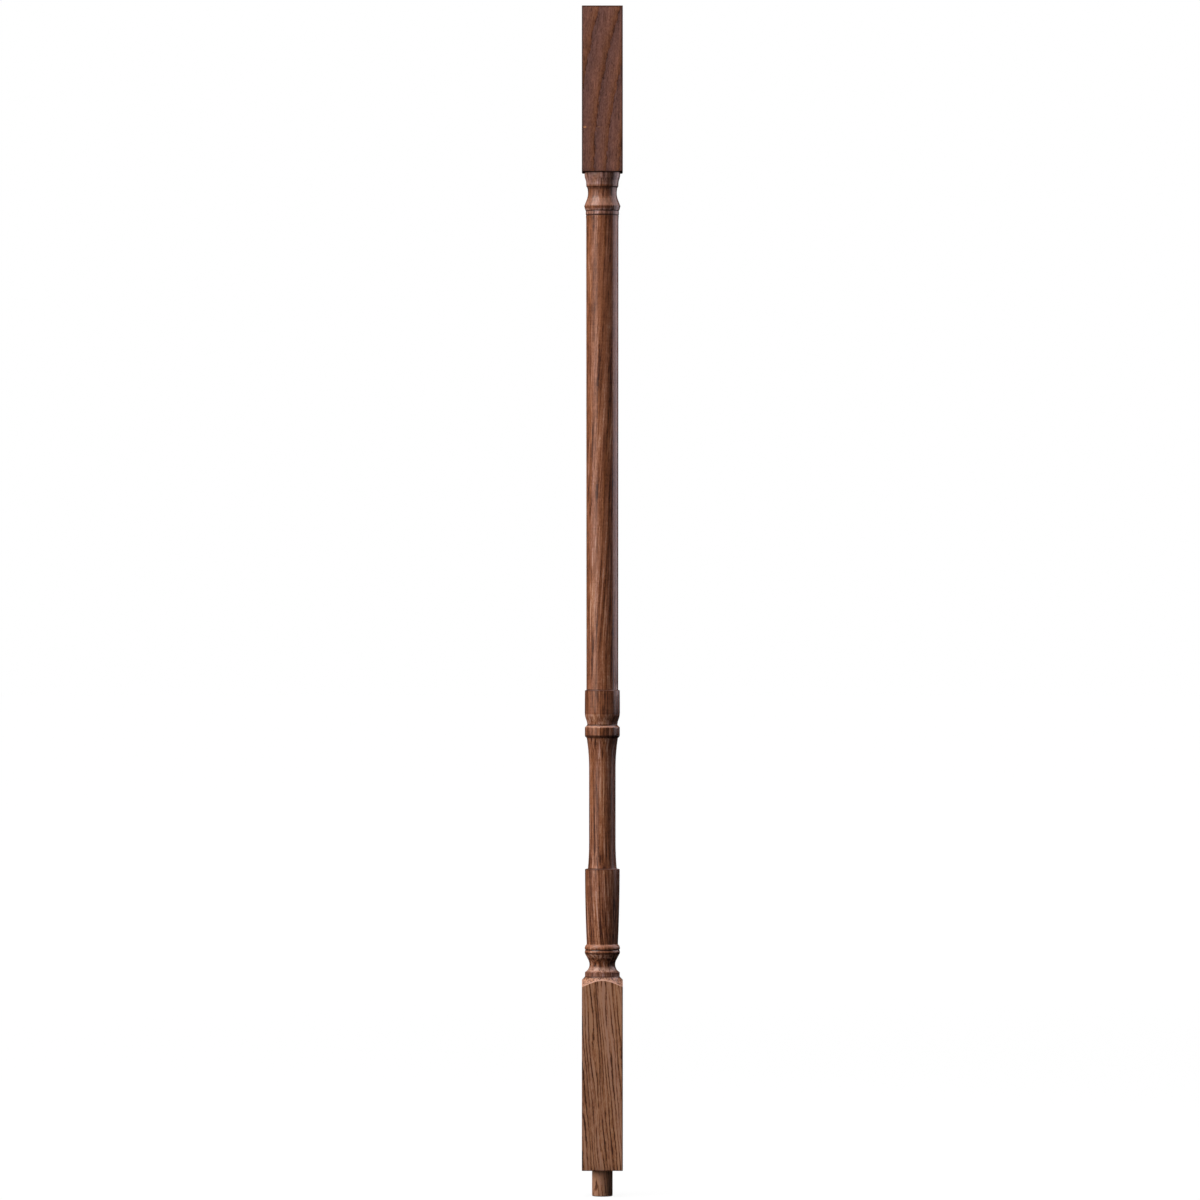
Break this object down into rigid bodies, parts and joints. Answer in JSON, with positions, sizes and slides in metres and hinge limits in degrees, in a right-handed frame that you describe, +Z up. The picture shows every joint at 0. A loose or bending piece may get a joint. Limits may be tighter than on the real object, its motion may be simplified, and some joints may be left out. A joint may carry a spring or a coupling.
{
  "type": "stair baluster",
  "caption": "Slender turned wooden stair baluster: square end blocks, beads, coves, a vase and neck, a long plain column and a round dowel pin at the foot, for a railing.",
  "frame": {"origin": "middle of the lower block's end face, at the shoulder of the dowel pin, where the baluster stands on the tread", "axes": "+Z up along the turning axis, X and Y square to the faces of the blocks, the pictured front facing -Y"},
  "size_m": [0.0318, 0.0318, 0.9232],
  "materials": {
    "stained_hardwood": "dark reddish-brown stain under a satin clear coat, with the grain showing"
  },
  "bodies": {
    "root": {"baluster": "stained_hardwood"}
  },
  "joints": []
}
